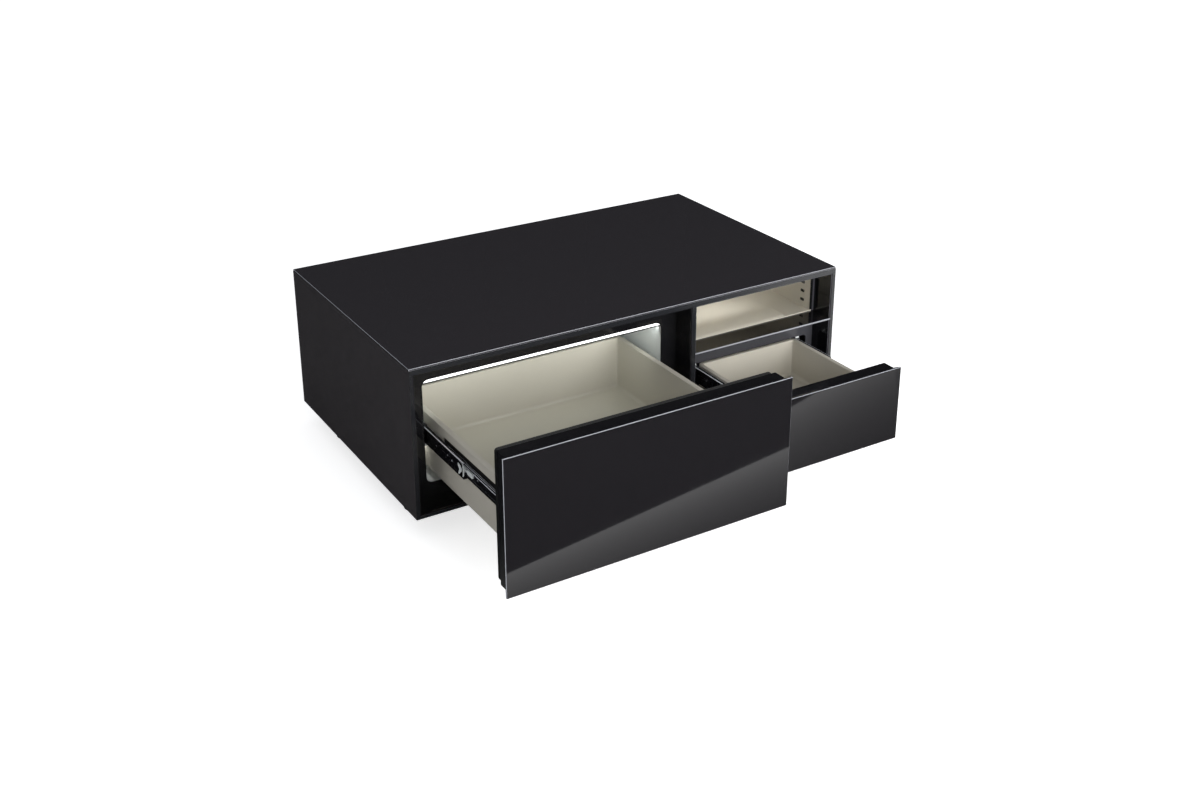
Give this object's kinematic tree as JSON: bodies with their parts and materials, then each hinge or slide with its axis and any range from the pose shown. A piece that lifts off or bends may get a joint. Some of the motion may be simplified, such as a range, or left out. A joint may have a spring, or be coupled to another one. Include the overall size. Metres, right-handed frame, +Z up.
{
  "type": "refrigerator coffee table",
  "caption": "Low rectangular table with a glass top, a refrigerated drawer on the left, and a charging niche over a small storage drawer on the right.",
  "frame": {"origin": "on the floor under the middle of the bounding box, with both drawers fully open as at rest", "axes": "+X to the right along the table's length, -Y towards the drawer fronts, +Z up"},
  "size_m": [1, 0.935, 0.359],
  "materials": {
    "black_glass": "gloss",
    "lacquered_board": "satin",
    "gloss_black_plastic": "gloss",
    "matte_black_plastic": "matte",
    "liner_plastic": "satin",
    "cream_plastic": "satin",
    "light_diffuser": "matte",
    "black_rubber": "matte",
    "black_slide_steel": "satin",
    "zinc_steel": "satin",
    "aluminium": "satin",
    "black_painted_steel": "satin",
    "foam": "matte",
    "pale_plastic": "satin"
  },
  "bodies": {
    "cabinet": {"top_glass": "black_glass", "top_panel": "lacquered_board", "side_panel_left": "lacquered_board", "side_panel_right": "lacquered_board", "bottom_panel": "lacquered_board", "centre_divider": "lacquered_board", "back_panel": "matte_black_plastic", "fridge_surround": "gloss_black_plastic", "storage_surround": "gloss_black_plastic", "niche_surround": "gloss_black_plastic", "niche_shelf": "black_glass", "niche_liner": "cream_plastic", "charging_pad": "cream_plastic", "charging_socket_module": "matte_black_plastic", "fridge_liner": "liner_plastic", "light_bar": "light_diffuser", "evaporator": "aluminium", "insulation_foam": "foam", "machine_bulkhead": "zinc_steel", "compressor": "black_painted_steel", "condenser": "aluminium", "fan_frame": "matte_black_plastic", "control_box": "matte_black_plastic", "power_inlet": "matte_black_plastic", "storage_slide_bracket_left": "black_slide_steel", "storage_slide_bracket_right": "black_slide_steel", "fridge_slide_outer_left": "black_slide_steel", "fridge_slide_outer_right": "black_slide_steel", "storage_slide_outer_left": "black_slide_steel", "storage_slide_outer_right": "black_slide_steel"},
    "fridge_drawer": {"fridge_door_glass": "black_glass", "fridge_door_core": "gloss_black_plastic", "fridge_gasket": "black_rubber", "fridge_bin": "cream_plastic", "fridge_slide_inner_left": "black_slide_steel", "fridge_slide_inner_right": "black_slide_steel"},
    "fridge_slide_middles": {"fridge_slide_middle_left": "black_slide_steel", "fridge_slide_middle_right": "black_slide_steel"},
    "fridge_outer_cages": {"fridge_outer_cage_left": "zinc_steel", "fridge_outer_cage_right": "zinc_steel"},
    "fridge_inner_cages": {"fridge_inner_cage_left": "zinc_steel", "fridge_inner_cage_right": "zinc_steel"},
    "fridge_lever_left": {"fridge_release_lever_left": "pale_plastic"},
    "fridge_lever_right": {"fridge_release_lever_right": "pale_plastic"},
    "storage_drawer": {"storage_door_glass": "black_glass", "storage_door_core": "gloss_black_plastic", "storage_bin": "cream_plastic", "storage_slide_inner_left": "black_slide_steel", "storage_slide_inner_right": "black_slide_steel"},
    "storage_slide_middles": {"storage_slide_middle_left": "black_slide_steel", "storage_slide_middle_right": "black_slide_steel"},
    "storage_outer_cages": {"storage_outer_cage_left": "zinc_steel", "storage_outer_cage_right": "zinc_steel"},
    "storage_inner_cages": {"storage_inner_cage_left": "zinc_steel", "storage_inner_cage_right": "zinc_steel"},
    "fan": {"fan_rotor": "matte_black_plastic"},
    "levelling_foot_front_left": {"foot_front_left": "black_rubber"},
    "levelling_foot_front_right": {"foot_front_right": "black_rubber"},
    "levelling_foot_rear_left": {"foot_rear_left": "black_rubber"},
    "levelling_foot_rear_right": {"foot_rear_right": "black_rubber"}
  },
  "joints": [
    {"name": "fridge_drawer_slide", "type": "slide", "parent": "cabinet", "child": "fridge_drawer", "axis": [0, -1, 0], "range_m": [-0.335, 0]},
    {"name": "fridge_middle_slide", "type": "slide", "parent": "cabinet", "child": "fridge_slide_middles", "axis": [0, -1, 0], "range_m": [-0.1676, 0]},
    {"name": "fridge_outer_cage_roll", "type": "slide", "parent": "cabinet", "child": "fridge_outer_cages", "axis": [0, -1, 0], "range_m": [-0.0838, 0]},
    {"name": "fridge_inner_cage_roll", "type": "slide", "parent": "cabinet", "child": "fridge_inner_cages", "axis": [0, -1, 0], "range_m": [-0.2513, 0]},
    {"name": "fridge_lever_left_press", "type": "hinge", "parent": "fridge_drawer", "child": "fridge_lever_left", "pos_m": [-0.4423, -0.246, 0.185], "axis": [1, 0, 0], "range_deg": [0, 8], "stiffness_Nm_per_rad": 0.02},
    {"name": "fridge_lever_right_press", "type": "hinge", "parent": "fridge_drawer", "child": "fridge_lever_right", "pos_m": [0.0764, -0.246, 0.185], "axis": [1, 0, 0], "range_deg": [0, 8], "stiffness_Nm_per_rad": 0.02},
    {"name": "storage_drawer_slide", "type": "slide", "parent": "cabinet", "child": "storage_drawer", "axis": [0, -1, 0], "range_m": [-0.236, 0]},
    {"name": "storage_middle_slide", "type": "slide", "parent": "cabinet", "child": "storage_slide_middles", "axis": [0, -1, 0], "range_m": [-0.1181, 0]},
    {"name": "storage_outer_cage_roll", "type": "slide", "parent": "cabinet", "child": "storage_outer_cages", "axis": [0, -1, 0], "range_m": [-0.0591, 0]},
    {"name": "storage_inner_cage_roll", "type": "slide", "parent": "cabinet", "child": "storage_inner_cages", "axis": [0, -1, 0], "range_m": [-0.1771, 0]},
    {"name": "fan_spin", "type": "hinge", "parent": "cabinet", "child": "fan", "pos_m": [0.4229, 0.338, 0.1453], "axis": [1, 0, 0], "continuous": true},
    {"name": "foot_front_left_turn", "type": "hinge", "parent": "cabinet", "child": "levelling_foot_front_left", "pos_m": [-0.455, -0.0105, 0], "axis": [0, 0, 1], "range_deg": [-1440, 1440]},
    {"name": "foot_front_right_turn", "type": "hinge", "parent": "cabinet", "child": "levelling_foot_front_right", "pos_m": [0.455, -0.0105, 0], "axis": [0, 0, 1], "range_deg": [-1440, 1440]},
    {"name": "foot_rear_left_turn", "type": "hinge", "parent": "cabinet", "child": "levelling_foot_rear_left", "pos_m": [-0.455, 0.3455, 0], "axis": [0, 0, 1], "range_deg": [-1440, 1440]},
    {"name": "foot_rear_right_turn", "type": "hinge", "parent": "cabinet", "child": "levelling_foot_rear_right", "pos_m": [0.455, 0.3455, 0], "axis": [0, 0, 1], "range_deg": [-1440, 1440]}
  ],
  "couplings": [
    {"joint": "fridge_middle_slide", "follows": "fridge_drawer_slide", "ratio": 0.5},
    {"joint": "fridge_outer_cage_roll", "follows": "fridge_drawer_slide", "ratio": 0.25},
    {"joint": "fridge_inner_cage_roll", "follows": "fridge_drawer_slide", "ratio": 0.75},
    {"joint": "storage_middle_slide", "follows": "storage_drawer_slide", "ratio": 0.5},
    {"joint": "storage_outer_cage_roll", "follows": "storage_drawer_slide", "ratio": 0.25},
    {"joint": "storage_inner_cage_roll", "follows": "storage_drawer_slide", "ratio": 0.75}
  ]
}
